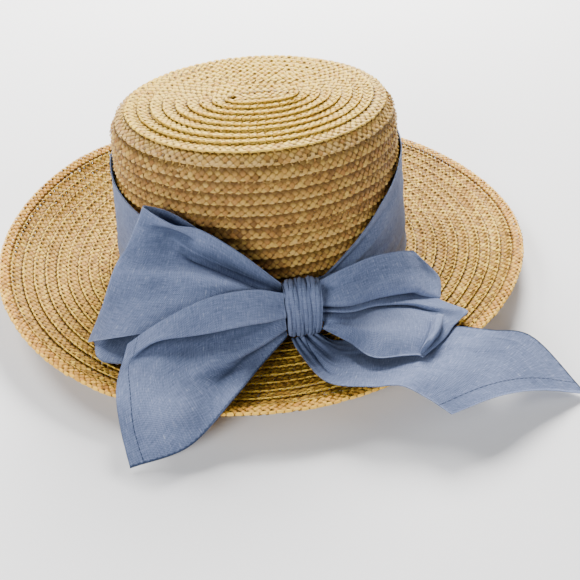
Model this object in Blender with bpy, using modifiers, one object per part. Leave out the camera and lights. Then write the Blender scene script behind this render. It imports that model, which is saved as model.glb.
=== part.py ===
"""Oval straw hat with a scarf tied round the crown in a bow.

The hat is sewn from one braid, lapped row on row: every row of the tip, wall and brim stands a little
proud along its outer edge. All sizes are in millimetres and become metres when a mesh is made.
The origin is the middle of the head opening, on the plane that the hat rests on. The bow is on the
long side that faces -Y, and the hat's long axis lies along X.
"""
import math

import bmesh
import bpy
import numpy as np

MM = 0.001
HAT = "straw_hat"

# Every ring of braid is an oval whose half axes are its mean radius plus and minus OVAL
OVAL = 6.0
HEAD_RADIUS = 88.0          # mean radius of the wall's foot, outside
TIP_RADIUS = 74.5           # mean radius of the tip plane, where the wall would meet it
CROWN_HEIGHT = 105.5
CORNER_RADIUS = 14.6        # the round between the wall and the tip
STRAW_THICK = 2.0
ROW_PROUD = 0.9             # how far a row's outer edge stands over the next row
WALL_ROWS = 14
CORNER_ROWS = 3
TIP_ROWS = 9
TIP_CENTRE = 9.0            # mean radius of the first ring round the start of the braid
RING_STEPS = 40             # faces round each oval

BRIM_WIDTH = 75.9           # along the straw, from the wall's foot to the edge
BRIM_ROWS = 10
EDGE_ROW = 7.4              # width of the thick last row, part of BRIM_WIDTH
EDGE_THICK = 3.6
SEAT_WIDTH = 6.5            # flat first row, which the hat rests on
FIT_GAP = 0.3

# The brim turns up by this angle, in radians: a mean, a share for each harmonic round the oval, and a
# lift at the two back corners
UPTURN = {"mean": 0.220, "cos1": -0.087, "sin1": -0.045, "cos2": 0.026, "sin2": -0.070, "corners": 0.048}
UPTURN_AT_FOOT = 0.35       # share of the upturn at the wall's foot
UPTURN_GAIN = 1.30          # share added by the time the straw reaches the edge

CLOTH_THICK = 1.0
BAND_CLEAR = 1.4            # from the wall's own surface to the band's inner face
BAND_STEPS = 48
BAND_PLEAT = 1.4            # depth of the pleats where the band goes behind the knot
BAND_GATHERED = 70          # degrees from the knot over which the pleats die away
BAND_PLEATS = [(0.0, 0.0), (0.22, 1.0), (0.42, 0.0), (0.62, 1.0), (0.82, 0.0), (1.0, 0.6)]   # share of height, depth
# Heights of the band's edges at angles from the knot, in degrees either way
BAND_EDGES = [
    # angle, lower edge, upper edge on the right, upper edge on the left
    (0, 14.0, 27.0, 27.0),
    (15, 11.0, 32.0, 40.0),
    (25, 9.0, 42.0, 50.0),
    (45, 6.0, 60.0, 62.0),
    (66, 4.5, 72.0, 69.0),
    (90, 3.8, 75.0, 76.0),
    (135, 3.6, 74.0, 74.0),
    (180, 3.6, 72.0, 72.0),
]

KNOT_CENTRE = (9.0, -94.6, 26.0)
KNOT_HALF = (10.0, 11.5, 18.0)
KNOT_LEAN = math.radians(5)
KNOT_SQUARENESS = 0.8       # 1 is an ellipse, less is squarer
KNOT_STEPS = 18
KNOT_WINDINGS = [
    # place along the knot from -1 to 1, size of the winding there
    (-1.0, 0.90), (-0.72, 0.99), (-0.55, 0.95), (-0.10, 1.02), (0.10, 0.97),
    (0.45, 1.01), (0.62, 0.95), (0.82, 0.98), (1.0, 0.90),
]

# Each row of a cloth table is one section across the scarf, given by the points that its folds pass
# through, from the upper edge to the lower one
LEFT_LOOP = [
    # section, upper edge, trough, ridge, belly, lower edge
    ("front at knot", (-1.4, -92, 42), (-1.4, -90, 37), (-1.4, -95, 31), (-1.4, -93, 23), (-1.4, -95, 16)),
    ("front near", (-21, -88, 56), (-21, -86, 49), (-23, -95, 47), (-25, -98, 34), (-27, -99, 23)),
    ("front middle", (-39, -80, 72), (-41, -79, 61), (-42, -90, 54), (-47, -97, 39), (-52, -98, 27)),
    ("front far", (-52, -73, 79), (-58, -71, 63), (-63, -80, 52), (-74, -90, 37), (-86, -97, 25)),
    ("fold", (-65, -65, 81), (-75, -70, 64), (-85, -75, 49), (-96, -80, 31), (-107, -86, 14)),
    ("turned under", (-63, -62, 80), (-73, -67, 62), (-83, -72, 46), (-94, -77, 28), (-105, -85, 12.4)),
    ("back far", (-52, -63, 78), (-62, -62, 62), (-74, -64, 40), (-87, -76, 17), (-98, -102, 13)),
    ("back middle", (-37, -73, 70), (-42, -74, 55), (-48, -74, 36), (-54, -81, 17), (-60, -104, 10)),
    ("back near", (-20, -82, 52), (-22, -82, 42), (-24, -83, 31), (-26, -86, 18), (-28, -98, 8.5)),
    ("back at knot", (-1.4, -86, 38), (-1.4, -85.5, 32), (-1.4, -86, 26), (-1.4, -87, 19), (-1.4, -89, 13)),
]
RIGHT_LOOP = [
    # section, upper edge, upper face, lip, tuck, thin fold, tuck, lower face, belly, lower edge
    ("front at knot", (19.4, -92, 41), (19.4, -95, 36), (19.4, -99, 30), (19.4, -95, 27), (19.4, -99, 25),
     (19.4, -96, 22), (19.4, -101, 20), (19.4, -102, 16), (19.4, -99, 12)),
    ("front near", (32, -88, 43), (33, -94, 36), (35, -99, 27), (36, -93, 23), (35, -100, 22.5),
     (36, -95, 18.5), (34, -106, 22), (32, -114, 21), (30, -117, 17)),
    ("front middle", (50, -80, 42), (52, -86, 34), (54, -93, 24), (54, -86, 19.5), (51, -96, 20.5),
     (51, -91, 16), (47, -112, 26), (43, -126, 27), (38, -134, 22)),
    ("front far", (69, -72, 37), (73, -78, 29), (75, -89, 21), (72, -84, 16), (70, -96, 18.5),
     (69, -94, 15), (63, -112, 23), (58, -127, 26), (54, -137, 23)),
    ("front end", (77, -68, 33), (84, -74, 24), (82, -90, 18.5), (79, -88, 15.5), (83, -101, 18),
     (80, -103, 16), (76, -113, 21), (69, -127, 24), (60, -138, 23)),
    ("tip", (80, -66, 31), (93, -77, 18), (90, -90, 16), (89, -95, 15.8), (98, -108, 18.8),
     (93, -113, 18.6), (86, -119, 19.4), (77, -128, 20.6), (62, -139, 22.4)),
    ("back far", (74, -65, 30), (81, -70, 19), (81, -79, 12.5), (81, -86, 12), (83, -95, 13),
     (80, -101, 14), (75, -109, 15), (68, -118, 16.5), (57, -130, 19)),
    ("back middle", (50, -74, 34), (53, -75, 26), (55, -77, 17), (54, -81, 11), (52, -88, 10),
     (50, -95, 10.5), (47, -104, 11.5), (43, -113, 13), (38, -122, 15.5)),
    ("back at knot", (19.4, -86, 38), (19.4, -86, 34.5), (19.4, -86, 31), (19.4, -86.5, 28), (19.4, -87, 24.5),
     (19.4, -87, 21), (19.4, -88, 18), (19.4, -89, 15), (19.4, -91, 12)),
]
LEFT_TAIL = [
    # section, upper edge, crest of the roll, valley, face, second valley, lower edge
    ("at knot", (-1.4, -98, 41), (-1.4, -103, 37), (-1.4, -99, 28), (-1.4, -104, 22), (-1.4, -100, 17),
     (-1.4, -103, 13)),
    ("near", (-18, -100, 48), (-19, -105, 44), (-20, -101, 31), (-20, -111, 27), (-19, -110, 17), (-18, -122, 14)),
    ("middle", (-41, -101, 48), (-42, -107, 42), (-45, -104, 29), (-47, -119, 28), (-38, -130, 19), (-33, -145, 21)),
    ("far", (-65, -103, 32), (-67, -110, 31), (-69, -111, 26), (-68, -134, 25), (-62, -152, 22), (-57, -160, 9)),
    ("hem", (-85, -103, 25), (-87, -112, 22), (-89, -121, 21), (-89, -137, 23), (-88, -150, 14), (-86, -162, 2)),
]
RIGHT_TAIL = [
    # section, upper edge, inner face, outer face, lower edge
    ("under knot", (17, -96, 6.8), (12, -97, 6.8), (7, -98, 6.8), (2, -99, 6.8)),
    ("facet", (24, -104, 6.6), (18, -110, 9.0), (11, -112, 9.5), (4, -112, 9.0)),
    ("turn", (34, -106, 7.2), (25, -122, 12), (19, -134, 16.5), (12, -143, 20)),
    ("front", (50, -104, 8.4), (44, -122, 12), (37, -140, 17.8), (31, -154, 24.5)),
    ("brim edge", (82, -110, 14), (70, -127, 17.5), (57, -145, 22), (45, -157, 25.5)),
    ("over edge", (103, -124, 22.5), (90, -136, 22.5), (73, -151, 24), (56, -164, 22)),
    ("drop", (127, -130, 14), (109, -144, 18), (85, -158, 22), (61, -169, 20.5)),
    ("hem", (143, -162, 1.8), (115, -163, 12.5), (90, -168, 20), (65, -173, 19)),
]


def clear_scene():
    for thing in list(bpy.data.objects):
        bpy.data.objects.remove(thing, do_unlink=True)


def make_material(name, colour, roughness):
    material = bpy.data.materials.new(name)
    material.use_nodes = True
    shader = material.node_tree.nodes["Principled BSDF"]
    shader.inputs["Base Color"].default_value = (*colour, 1.0)
    shader.inputs["Roughness"].default_value = roughness
    shader.inputs["Metallic"].default_value = 0.0
    material.diffuse_color = (*colour, 1.0)
    return material


def add_piece(name, grid, material, closed_along=False, closed_across=False, caps=()):
    """Make an object from a grid of points in millimetres; caps are the rows that end in a flat face."""
    rows, columns = len(grid), len(grid[0])
    mesh = bmesh.new()
    verts = [[mesh.verts.new([value * MM for value in point]) for point in row] for row in grid]
    for i in range(rows if closed_along else rows - 1):
        for j in range(columns if closed_across else columns - 1):
            after, beside = (i + 1) % rows, (j + 1) % columns
            mesh.faces.new((verts[i][j], verts[i][beside], verts[after][beside], verts[after][j]))
    for cap in caps:
        mesh.faces.new(verts[cap])
    bmesh.ops.recalc_face_normals(mesh, faces=mesh.faces)
    bmesh.ops.triangulate(mesh, faces=mesh.faces)
    data = bpy.data.meshes.new(name)
    mesh.to_mesh(data)
    mesh.free()
    data.materials.append(material)
    data.shade_smooth()
    data.set_sharp_from_angle(angle=math.radians(40))
    piece = bpy.data.objects.new(name, data)
    bpy.data.collections[HAT].objects.link(piece)
    return piece


def oval(radius, angle, height):
    return ((radius + OVAL) * math.cos(angle), (radius - OVAL) * math.sin(angle), height)


def sweep_round(section_at, steps):
    """Carry a closed section, a list of (radius, height), round the oval."""
    angles = [2 * math.pi * k / steps for k in range(steps)]
    return [[oval(radius, angle, height) for radius, height in section_at(angle)] for angle in angles]


def lapped(path, rows, proud):
    """Points along a path of rows, each flush where it starts and proud where it ends.

    path(share) gives a point (radius, height) and the outward normal there.
    """
    points = []
    for row in range(rows):
        for share, lift in ((row / rows, 0.0), ((row + 1) / rows, proud)):
            (radius, height), (out_radius, out_height) = path(share)
            points.append((radius + lift * out_radius, height + lift * out_height))
    return points


# Crown

WALL_LEAN = math.atan2(HEAD_RADIUS - TIP_RADIUS, CROWN_HEIGHT)
CORNER_TURN = math.pi / 2 - WALL_LEAN
CROWN_FOOT = STRAW_THICK + FIT_GAP


def corner_centre():
    """Centre of the round that touches both the tip plane and the leaning wall."""
    height = CROWN_HEIGHT - CORNER_RADIUS
    wall_radius = HEAD_RADIUS - height * math.tan(WALL_LEAN)
    return wall_radius - CORNER_RADIUS / math.cos(WALL_LEAN), height


def tip_path(share):
    edge = corner_centre()[0]
    return (TIP_CENTRE + (edge - TIP_CENTRE) * share, CROWN_HEIGHT), (0.0, 1.0)


def corner_path(share):
    radius, height = corner_centre()
    turn = CORNER_TURN * share
    out = (math.sin(turn), math.cos(turn))
    return (radius + CORNER_RADIUS * out[0], height + CORNER_RADIUS * out[1]), out


def wall_path(share):
    (radius, height), out = corner_path(1.0)
    drop = (height - CROWN_FOOT) * share
    return (radius + drop * math.tan(WALL_LEAN), height - drop), out


def crown_section():
    outside = lapped(tip_path, TIP_ROWS, ROW_PROUD)
    outside += lapped(corner_path, CORNER_ROWS, ROW_PROUD)
    outside += lapped(wall_path, WALL_ROWS, ROW_PROUD)
    inside = []
    for path, shares in ((wall_path, (1.0, 0.66, 0.33)), (corner_path, (1.0, 0.5, 0.0)), (tip_path, (0.5, 0.0))):
        for share in shares:
            (radius, height), out = path(share)
            inside.append((radius - STRAW_THICK * out[0], height - STRAW_THICK * out[1]))
    inside[0] = (inside[0][0], CROWN_FOOT)
    return outside + inside


def make_crown(material):
    section = crown_section()
    rings = [list(ring) for ring in zip(*sweep_round(lambda angle: section, RING_STEPS))]
    return add_piece("crown", rings, material, closed_across=True, caps=(0, len(rings) - 1))


# Brim

def upturn(angle):
    return (UPTURN["mean"] + UPTURN["cos1"] * math.cos(angle) + UPTURN["sin1"] * math.sin(angle)
            + UPTURN["cos2"] * math.cos(2 * angle) + UPTURN["sin2"] * math.sin(2 * angle)
            + UPTURN["corners"] * math.sin(2 * angle) ** 2 * (1 + math.sin(angle)))


def brim_path(angle, along):
    """Point on the brim's underside and its upward normal, at a distance along the straw from the foot."""
    if along <= SEAT_WIDTH:
        return (HEAD_RADIUS + along, 0.0), (0.0, 1.0)
    turned = upturn(angle)
    rate = turned * UPTURN_GAIN / BRIM_WIDTH
    start = turned * UPTURN_AT_FOOT
    slope = start + rate * (along - SEAT_WIDTH)
    radius = HEAD_RADIUS + SEAT_WIDTH + (math.sin(slope) - math.sin(start)) / rate
    height = (math.cos(start) - math.cos(slope)) / rate
    return (radius, height), (-math.sin(slope), math.cos(slope))


def above_brim(angle, along, lift):
    (radius, height), (out_radius, out_height) = brim_path(angle, along)
    return radius + lift * out_radius, height + lift * out_height


def brim_section(angle):
    reach = BRIM_WIDTH - EDGE_ROW - FIT_GAP

    def top_path(share):
        out = brim_path(angle, reach * share)[1]
        return above_brim(angle, reach * share, STRAW_THICK), out

    rim = (HEAD_RADIUS - STRAW_THICK, STRAW_THICK)
    top = lapped(top_path, BRIM_ROWS, ROW_PROUD)
    under = [above_brim(angle, reach * share, 0.0) for share in (1.0, 0.8, 0.6, 0.4, 0.2)]
    under += [(HEAD_RADIUS + SEAT_WIDTH, 0.0), (HEAD_RADIUS - STRAW_THICK, 0.0)]
    return [rim] + top + under


def edge_section(angle):
    start = BRIM_WIDTH - EDGE_ROW
    middle = (STRAW_THICK + ROW_PROUD) / 2
    outline = ((0.0, -0.9), (0.35, -1.0), (0.85, -0.8), (1.0, 0.0), (0.85, 0.8), (0.35, 1.0), (0.0, 0.9))
    half = EDGE_THICK / 2
    return [above_brim(angle, start + share * EDGE_ROW, middle + side * half) for share, side in outline]


def make_brim(material):
    return add_piece("brim", sweep_round(brim_section, RING_STEPS), material,
                     closed_along=True, closed_across=True)


def make_edge_braid(material):
    return add_piece("edge_braid", sweep_round(edge_section, RING_STEPS), material,
                     closed_along=True, closed_across=True)


# Scarf

def wall_radius(height):
    return HEAD_RADIUS - height * math.tan(WALL_LEAN)


def band_edges(from_knot, side):
    angles = [row[0] for row in BAND_EDGES]
    lower = np.interp(from_knot, angles, [row[1] for row in BAND_EDGES])
    upper = np.interp(from_knot, angles, [row[side] for row in BAND_EDGES])
    return float(lower), float(upper)


def band_section(angle):
    """A thin closed section: up the outer face and down the inner one, with pleats near the knot."""
    from_knot = math.degrees(math.remainder(angle + math.pi / 2, 2 * math.pi))
    lower, upper = band_edges(abs(from_knot), 2 if from_knot > 0 else 3)
    gather = max(0.0, 1 - abs(from_knot) / BAND_GATHERED) ** 2
    outer = []
    for share, pleat in BAND_PLEATS:
        height = lower + (upper - lower) * share
        outer.append((wall_radius(height) + BAND_CLEAR + CLOTH_THICK + BAND_PLEAT * gather * pleat, height))
    inner = [(wall_radius(height) + BAND_CLEAR, height) for height in (upper, (lower + upper) / 2, lower)]
    return outer + inner


def make_band(material):
    return add_piece("hat_band", sweep_round(band_section, BAND_STEPS), material,
                     closed_along=True, closed_across=True)


def make_knot(material):
    """A drum of cloth wound round the gathered loops, with flat ends where they go in."""
    centre_x, centre_y, centre_z = KNOT_CENTRE
    half_x, half_y, half_z = KNOT_HALF
    rings = []
    for place, size in KNOT_WINDINGS:
        ring = []
        for k in range(KNOT_STEPS):
            turn = 2 * math.pi * k / KNOT_STEPS
            across = half_y * size * math.copysign(abs(math.cos(turn)) ** KNOT_SQUARENESS, math.cos(turn))
            up = half_z * size * math.copysign(abs(math.sin(turn)) ** KNOT_SQUARENESS, math.sin(turn))
            y = centre_y + across * math.cos(KNOT_LEAN) + up * math.sin(KNOT_LEAN)
            z = centre_z - across * math.sin(KNOT_LEAN) + up * math.cos(KNOT_LEAN)
            ring.append((centre_x + half_x * place, y, z))
        rings.append(ring)
    return add_piece("bow_knot", rings, material, closed_across=True, caps=(0, len(rings) - 1))


def smooth_line(points, count):
    """Points of a smooth curve through the given ones, evenly spaced from one given point to the next."""
    points = np.asarray(points, dtype=float)
    padded = np.vstack([2 * points[0] - points[1], points, 2 * points[-1] - points[-2]])
    line = []
    for place in np.linspace(0, len(points) - 1, count):
        k = min(int(place), len(points) - 2)
        t = place - k
        p0, p1, p2, p3 = padded[k:k + 4]
        line.append(0.5 * (2 * p1 + (p2 - p0) * t + (2 * p0 - 5 * p1 + 4 * p2 - p3) * t ** 2
                           + (3 * p1 - p0 - 3 * p2 + p3) * t ** 3))
    return np.array(line)


def make_cloth(name, sections, along, across, material):
    """A sheet of cloth through the sections of a table, given its thickness by Solidify."""
    rows = np.array([smooth_line(section[1:], across) for section in sections])
    columns = [smooth_line(rows[:, j], along) for j in range(across)]
    grid = np.transpose(np.array(columns), (1, 0, 2)).tolist()
    piece = add_piece(name, grid, material)
    solidify = piece.modifiers.new("cloth thickness", "SOLIDIFY")
    solidify.thickness = CLOTH_THICK * MM
    solidify.offset = 0.0
    return piece


def main():
    clear_scene()
    hat = bpy.data.collections.new(HAT)
    bpy.context.scene.collection.children.link(hat)

    straw = make_material("straw", (0.62, 0.42, 0.18), 0.55)
    edge_straw = make_material("edge straw", (0.72, 0.50, 0.22), 0.5)
    chambray = make_material("chambray", (0.13, 0.19, 0.33), 0.85)
    knot_cloth = make_material("knot chambray", (0.15, 0.20, 0.33), 0.85)

    make_crown(straw)
    make_brim(straw)
    make_edge_braid(edge_straw)
    make_band(chambray)
    make_knot(knot_cloth)
    make_cloth("bow_loop_left", LEFT_LOOP, 19, 9, chambray)
    make_cloth("bow_loop_right", RIGHT_LOOP, 15, 13, chambray)
    make_cloth("bow_tail_left", LEFT_TAIL, 12, 11, chambray)
    make_cloth("bow_tail_right", RIGHT_TAIL, 15, 8, chambray)


main()
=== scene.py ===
"""Oval straw hat with a chambray scarf tied round its crown in a bow.

The straw is plaited strand by strand and laid in lapped rows over the hat's surface, and the scarf is laid
through tables of its folds. Lengths in the code are millimetres unless a name says otherwise, and the
properties that a user sees are in metres.
"""
import math

import bpy
import numpy as np
from bpy.props import FloatProperty, FloatVectorProperty, PointerProperty
from mathutils import Matrix, Vector


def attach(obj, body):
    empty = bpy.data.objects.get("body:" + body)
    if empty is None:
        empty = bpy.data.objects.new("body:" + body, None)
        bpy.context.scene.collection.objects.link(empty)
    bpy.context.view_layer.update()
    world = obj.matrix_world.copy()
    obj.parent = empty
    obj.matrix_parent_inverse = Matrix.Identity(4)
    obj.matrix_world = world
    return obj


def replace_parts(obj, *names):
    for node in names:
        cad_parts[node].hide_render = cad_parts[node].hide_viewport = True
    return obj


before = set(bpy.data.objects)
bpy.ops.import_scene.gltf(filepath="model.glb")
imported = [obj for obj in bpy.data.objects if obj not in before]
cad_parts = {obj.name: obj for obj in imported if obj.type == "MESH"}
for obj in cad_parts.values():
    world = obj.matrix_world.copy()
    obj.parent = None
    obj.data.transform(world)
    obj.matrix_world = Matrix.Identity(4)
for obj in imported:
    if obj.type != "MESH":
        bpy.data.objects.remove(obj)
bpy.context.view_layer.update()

bl_info = {
    "name": "Straw hat with a tied scarf",
    "version": (1, 0, 0),
    "blender": (4, 5, 0),
    "location": "View3D > Sidebar > Straw Hat",
    "description": "Builds an oval hat of lapped straw plait with a chambray scarf tied in a bow",
    "category": "Add Mesh",
}

M_TO_MM = 1000.0
MM = 0.001
BODY = "root"
SEED = 20

# The hat's own shape, as its solids have it
OVAL = 6.0                  # every ring's half axes are its mean radius plus and minus this
TIP_SHIFT = 4.0             # how far the plait's start lies off the middle of the tip
TIP_REACH = 55.0            # over which the rows come back to the middle
HEAD_RADIUS = 88.0          # outside of the wall's foot
TIP_RADIUS = 74.5           # where the wall would meet the tip plane
CROWN_HEIGHT = 105.5
CORNER_RADIUS = 14.6
STRAW_THICK = 2.0
FOOT_RADIUS = 4.5           # the bend from the wall into the brim, at the underside
BRIM_WIDTH = 75.9
EDGE_ROW = 7.4
EDGE_THICK = 3.6
SEAT_WIDTH = 6.5
UPTURN = {"mean": 0.220, "cos1": -0.087, "sin1": -0.045, "cos2": 0.026, "sin2": -0.070, "corners": 0.048}
UPTURN_AT_FOOT = 0.35
UPTURN_GAIN = 1.30
BAND_CLEAR = 1.4

BAND_EDGES = [
    # degrees from the knot, lower edge, upper edge on the right, upper edge on the left
    (0, 14.0, 27.0, 27.0),
    (15, 11.0, 32.0, 40.0),
    (25, 9.0, 42.0, 50.0),
    (45, 6.0, 60.0, 62.0),
    (66, 4.5, 72.0, 69.0),
    (90, 3.8, 75.0, 76.0),
    (135, 3.6, 74.0, 74.0),
    (180, 3.6, 72.0, 72.0),
]

KNOT_CENTRE = (9.0, -94.6, 26.0)
KNOT_HALF = (10.0, 11.5, 18.0)
KNOT_LEAN = math.radians(5)

# Each row is one section across the scarf, from the upper edge to the lower one
LEFT_LOOP = [
    # section, upper edge, trough, ridge, belly, lower edge
    ("front at knot", (-1.4, -92, 42), (-1.4, -90, 37), (-1.4, -95, 31), (-1.4, -93, 23), (-1.4, -95, 16)),
    ("front near", (-21, -84, 60), (-22, -83, 46), (-23, -95, 47), (-25, -98, 34), (-27, -99, 23)),
    ("front middle", (-39, -79, 73.5), (-42, -76, 57), (-42, -90, 54), (-47, -97, 39), (-52, -98, 27)),
    ("front far", (-52, -74, 75), (-56, -69, 65), (-63, -80, 52), (-74, -90, 37), (-86, -97, 25)),
    ("fold", (-65, -65, 81), (-75, -70, 65), (-85, -75, 53), (-96, -80, 31), (-107, -86, 14)),
    ("turned under", (-63, -62, 80), (-73, -67, 62), (-83, -72, 46), (-94, -77, 28), (-105, -85, 12.4)),
    ("back far", (-52, -63, 74.5), (-62, -62, 62), (-74, -64, 40), (-87, -76, 17), (-98, -102, 13)),
    ("back middle", (-37, -73, 66.5), (-42, -74, 55), (-48, -74, 36), (-54, -81, 17), (-60, -104, 10)),
    ("back near", (-20, -82, 52), (-22, -82, 42), (-24, -83, 31), (-26, -86, 18), (-28, -98, 8.5)),
    ("back at knot", (-1.4, -86, 38), (-1.4, -85.5, 32), (-1.4, -86, 26), (-1.4, -87, 19), (-1.4, -89, 13)),
]
RIGHT_LOOP = [
    # section, upper edge, upper face, lip, tuck, thin fold, tuck, lower face, belly, lower edge
    ("front at knot", (19.4, -92, 41), (19.4, -95, 36), (19.4, -99, 30), (19.4, -95, 27), (19.4, -99, 25),
     (19.4, -96, 22), (19.4, -101, 20), (19.4, -102, 16), (19.4, -99, 12)),
    ("front near", (32, -88, 43), (33, -94, 36), (35, -99, 27), (36, -93, 23), (35, -100, 22.5),
     (36, -95, 18.5), (34, -106, 22), (32, -114, 21), (30, -117, 17)),
    ("front middle", (50, -80, 42), (52, -86, 34), (54, -93, 24), (54, -86, 19.5), (51, -96, 20.5),
     (51, -91, 16), (47, -112, 26), (43, -126, 27), (38, -134, 22)),
    ("front far", (69, -72, 37), (73, -78, 29), (75, -89, 21), (72, -84, 16), (70, -96, 18.5),
     (69, -94, 15), (63, -112, 23), (58, -127, 26), (54, -137, 23)),
    ("front end", (77, -68, 33), (84, -74, 24), (82, -90, 18.5), (79, -88, 15.5), (83, -101, 18),
     (80, -103, 16), (76, -113, 21), (69, -127, 24), (60, -138, 23)),
    ("tip", (80, -66, 31), (93, -77, 18), (90, -90, 16), (89, -95, 15.8), (98, -108, 18.8),
     (93, -113, 18.6), (86, -119, 19.4), (77, -128, 20.6), (62, -139, 22.4)),
    ("back far", (74, -65, 30), (81, -70, 19), (81, -79, 12.5), (81, -86, 12), (83, -95, 13),
     (80, -101, 14), (75, -109, 15), (68, -118, 16.5), (57, -130, 19)),
    ("back middle", (50, -74, 34), (53, -75, 26), (55, -77, 17), (54, -81, 11), (52, -88, 10),
     (50, -95, 10.5), (47, -104, 11.5), (43, -113, 13), (38, -122, 15.5)),
    ("back at knot", (19.4, -86, 38), (19.4, -86, 34.5), (19.4, -86, 31), (19.4, -86.5, 28), (19.4, -87, 24.5),
     (19.4, -87, 21), (19.4, -88, 18), (19.4, -89, 15), (19.4, -91, 12)),
]
LEFT_TAIL = [
    # section, upper edge, crest of the roll, valley, face, second valley, lower edge
    ("at knot", (-1.4, -98, 41), (-1.4, -104, 29.5), (-1.4, -98.5, 26), (-1.4, -104, 21), (-1.4, -100, 17),
     (-1.4, -103, 13)),
    ("near", (-18, -100, 48), (-19, -107.5, 33), (-20, -100.5, 27), (-21, -114, 20.5), (-19, -112, 15.5),
     (-18, -122, 14)),
    ("middle", (-41, -101, 47), (-42, -109, 32.5), (-45, -103, 26), (-47, -125, 23.5), (-38, -131, 18.5),
     (-33, -145, 21)),
    ("far", (-65, -101, 36), (-66, -111, 33.5), (-68, -108, 27.5), (-68, -134, 25), (-62, -152, 22), (-57, -160, 9)),
    ("hem", (-84, -103, 25), (-86, -111, 23.5), (-89, -121, 21), (-89, -137, 23), (-88, -150, 14), (-86, -162, 2)),
]
RIGHT_TAIL = [
    # section, upper edge, inner face, outer face, lower edge
    ("under knot", (17, -96, 6.8), (12, -97, 6.8), (7, -98, 6.8), (2, -99, 6.8)),
    ("facet", (24, -104, 6.6), (18, -110, 9.0), (11, -112, 9.5), (4, -112, 9.0)),
    ("turn", (34, -106, 7.2), (25, -122, 12), (19, -134, 16.5), (12, -143, 20)),
    ("front", (50, -104, 8.4), (44, -122, 12), (37, -140, 17.8), (31, -154, 24.5)),
    ("brim edge", (82, -112.5, 14.5), (70, -127, 17.5), (57, -145, 22), (45, -157, 25.5)),
    ("over edge", (103, -127, 21.5), (90, -136, 22.5), (73, -151, 24), (56, -164, 22)),
    ("drop", (127, -130, 14), (109, -144, 18), (85, -158, 22), (61, -169, 20.5)),
    ("hem", (143, -162, 1.8), (115, -163, 12.5), (90, -168, 20), (65, -173, 19)),
]


# Sharp folds: places across the scarf, span along it, height in millimetres, width; both lengths as shares
LEFT_LOOP_CREASES = [
    ((0.50, 0.50, 0.51, 0.50), (0.02, 0.46), 2.4, 0.060),
    ((0.40, 0.38, 0.36), (0.02, 0.30), -2.0, 0.050),
    ((0.66, 0.70, 0.72), (0.05, 0.40), 1.2, 0.060),
    ((0.58, 0.62), (0.04, 0.26), -1.2, 0.045),
    ((0.14, 0.16, 0.12), (0.22, 0.42), -1.6, 0.050),
    ((0.24, 0.27), (0.05, 0.34), 0.9, 0.040),
]
RIGHT_LOOP_CREASES = [
    ((0.24, 0.20, 0.16), (0.00, 0.36), -0.9, 0.020),
    ((0.12, 0.10), (0.00, 0.26), 0.8, 0.030),
    ((0.80, 0.84, 0.86), (0.02, 0.34), -1.2, 0.030),
    ((0.70, 0.72, 0.76), (0.02, 0.40), 0.8, 0.040),
]
LEFT_TAIL_CREASES = [
    ((0.20, 0.20, 0.20), (0.02, 0.80), 1.6, 0.045),
    ((0.38, 0.36, 0.34), (0.00, 0.62), -1.8, 0.050),
    ((0.60, 0.60, 0.62), (0.00, 0.60), 1.6, 0.050),
    ((0.76, 0.78), (0.02, 0.56), -1.4, 0.045),
    ((0.48, 0.50), (0.05, 0.40), -0.7, 0.025),
]
RIGHT_TAIL_CREASES = [
    ((0.55, 0.80), (0.02, 0.30), 1.4, 0.070),
    ((0.25, 0.40, 0.45), (0.25, 0.85), 0.8, 0.090),
]
SLIT = {"at": 0.532, "half": 0.022, "from": 0.75, "to": 0.985, "depth": 6.5}


def size_property(name, description, default, low, high):
    """A length in metres."""
    return FloatProperty(name=name, description=description, default=default, min=low, max=high,
                         subtype="DISTANCE", unit="LENGTH")


def colour_property(name, description, default, high=1):
    return FloatVectorProperty(name=name, description=description, default=default, subtype="COLOR", min=0, max=high)


class StrawLook(bpy.types.PropertyGroup):
    """Sizes and colours of the straw plait."""
    row_pitch: size_property("Row pitch", "Distance from one row of plait to the next", 0.0065, 0.003, 0.02)
    plait_width: size_property(
        "Plait width", "Full width of the plait, part of which lies under the row above", 0.0082, 0.004, 0.03)
    tooth: size_property("Tooth", "Length of one fold of straw along the plait's edge", 0.0041, 0.002, 0.02)
    pale: colour_property("Pale straw", "Colour of the palest strands", (0.97, 0.63, 0.095))
    middle: colour_property("Gold straw", "Colour of most strands", (0.60, 0.325, 0.055))
    deep: colour_property("Tan straw", "Colour of the darkest strands", (0.22, 0.10, 0.016))
    warm: colour_property("Warm straw", "Colour of the strands that have reddened", (0.72, 0.32, 0.05))
    edge: colour_property("Edge straw", "Tint of the thick plait round the brim's edge", (1.0, 0.90, 0.72))
    brim: colour_property("Brim straw", "Tint of the brim's plait", (0.84, 0.83, 0.64))
    # painted light: the tip's tint is the straw as lit on top; the wall's is partly browner straw, partly painted shade
    tip: colour_property("Tip straw", "Tint of the plait on the crown's tip, bleached by the sun", (1.0, 0.99, 0.55))
    wall: colour_property("Wall straw", "Tint of the plait down the crown's wall", (0.61, 0.58, 0.84), 2)


class ScarfLook(bpy.types.PropertyGroup):
    """Sizes and colours of the scarf."""
    thickness: size_property("Cloth thickness", "Thickness of the woven cloth", 0.0006, 0.0002, 0.002)
    thread: size_property("Thread pitch", "Distance from one thread of the weave to the next", 0.00045, 0.0002, 0.002)
    hem: size_property("Hem width", "Width of the turned and stitched hem at the scarf's ends", 0.007, 0.002, 0.02)
    warp: colour_property("Warp", "Colour of the dyed threads", (0.038, 0.057, 0.118))
    weft: colour_property("Weft", "Colour of the pale threads", (0.222, 0.272, 0.435))


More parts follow.
